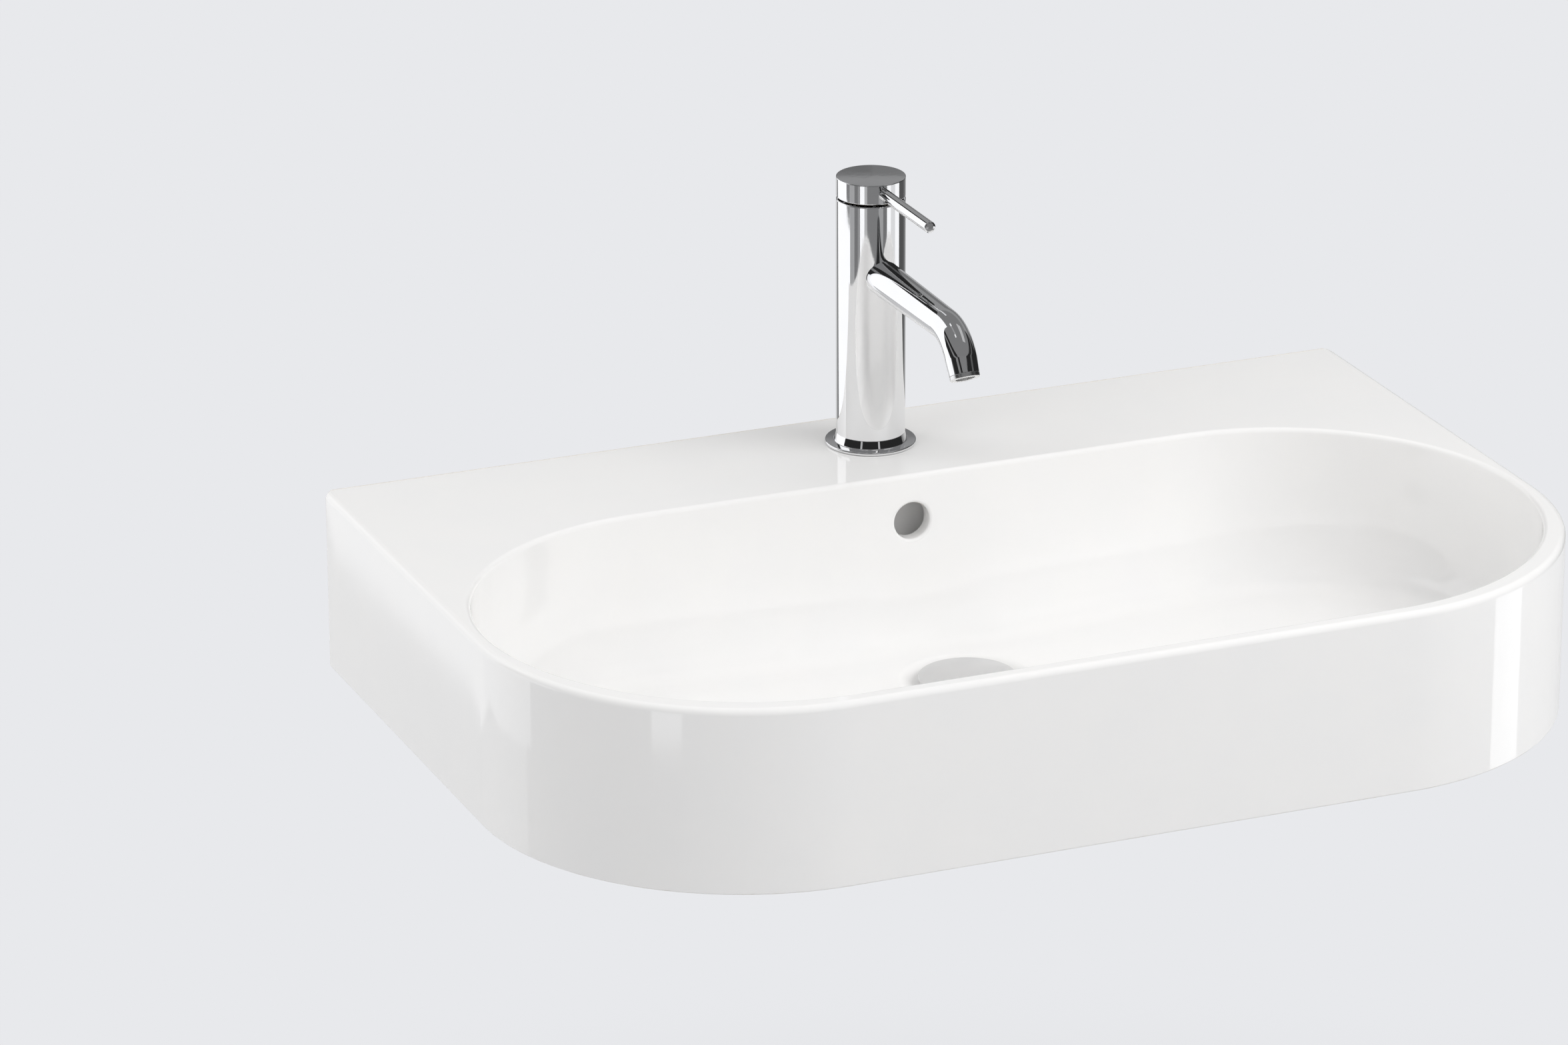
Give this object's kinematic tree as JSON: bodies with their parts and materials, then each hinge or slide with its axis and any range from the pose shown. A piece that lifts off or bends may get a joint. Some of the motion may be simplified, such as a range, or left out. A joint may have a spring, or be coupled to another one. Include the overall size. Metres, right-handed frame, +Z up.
{
  "type": "wall-hung washbasin",
  "caption": "Wall-hung ceramic basin with an oval bowl, a flat rear deck carrying a single lever mixer tap, an overflow hole and a push-open waste.",
  "frame": {"origin": "midway between the two wall fixing holes, on the rear face of the basin", "axes": "+X to the right seen from the front, +Y into the wall, +Z up"},
  "size_m": [0.7, 0.45, 0.3665],
  "materials": {
    "glazed_white": "white glaze, high gloss",
    "chrome_body": "polished chrome",
    "chrome_ring": "polished chrome",
    "seal_rubber": "black rubber",
    "chrome_spout": "polished chrome",
    "chrome_satin": "light satin chrome",
    "insert_plastic": "white acetal",
    "cartridge_plastic": "glass filled nylon",
    "disc_ceramic": "lapped alumina",
    "carrier_plastic": "grey acetal",
    "pin_steel": "ground steel",
    "lever_brass": "plain machined brass",
    "nut_brass": "plain machined brass",
    "chrome_cap": "polished chrome",
    "chrome_rod": "polished chrome",
    "screw_steel": "dark steel",
    "stud_brass": "plain brass, threaded",
    "gasket_rubber": "black rubber",
    "bracket_steel": "zinc plated steel",
    "chrome_waste": "chromed brass",
    "barrel_brass": "plain machined brass",
    "spring_steel": "spring steel",
    "chrome_plug": "polished chrome"
  },
  "bodies": {
    "fixed": {"basin": "glazed_white", "tap_body": "chrome_body", "base_ring": "chrome_ring", "base_seal": "seal_rubber", "spout": "chrome_spout", "aerator_housing": "chrome_satin", "aerator_insert": "insert_plastic", "aerator_seal": "seal_rubber", "cartridge_base": "cartridge_plastic", "port_seals": "seal_rubber", "fixed_disc": "disc_ceramic", "cartridge_housing": "cartridge_plastic", "retaining_nut": "nut_brass", "fixing_stud": "stud_brass", "fixing_gasket": "gasket_rubber", "fixing_bracket": "bracket_steel", "fixing_nut": "nut_brass", "waste_body": "chrome_waste", "flange_seal": "seal_rubber", "tapered_washer": "gasket_rubber", "waste_backnut": "chrome_waste", "click_barrel": "barrel_brass", "click_spring": "spring_steel"},
    "carrier": {"cartridge_carrier": "carrier_plastic", "pivot_pin": "pin_steel"},
    "handle": {"control_lever": "lever_brass", "handle_cap": "chrome_cap", "lever_rod": "chrome_rod", "grub_screw": "screw_steel"},
    "disc": {"moving_disc": "disc_ceramic"},
    "plug": {"plug_cap": "chrome_plug", "plug_seal": "seal_rubber", "plug_stem": "barrel_brass"}
  },
  "joints": [
    {"name": "temperature_turn", "type": "hinge", "parent": "fixed", "child": "carrier", "pos_m": [0, -0.049, 0.199], "axis": [0, 0, 1], "range_deg": [-45, 45]},
    {"name": "lever_lift", "type": "hinge", "parent": "carrier", "child": "handle", "pos_m": [0, -0.049, 0.199], "axis": [-1, 0, 0], "range_deg": [0, 20]},
    {"name": "disc_slide", "type": "slide", "parent": "carrier", "child": "disc", "axis": [0, -1, 0], "range_m": [0, 0.0028]},
    {"name": "waste_plug", "type": "slide", "parent": "fixed", "child": "plug", "axis": [0, 0, 1], "range_m": [0, 0.009], "deforming": ["click_spring"]}
  ],
  "couplings": [
    {"joint": "disc_slide", "follows": "lever_lift", "m_per_rad": 0.0074}
  ]
}
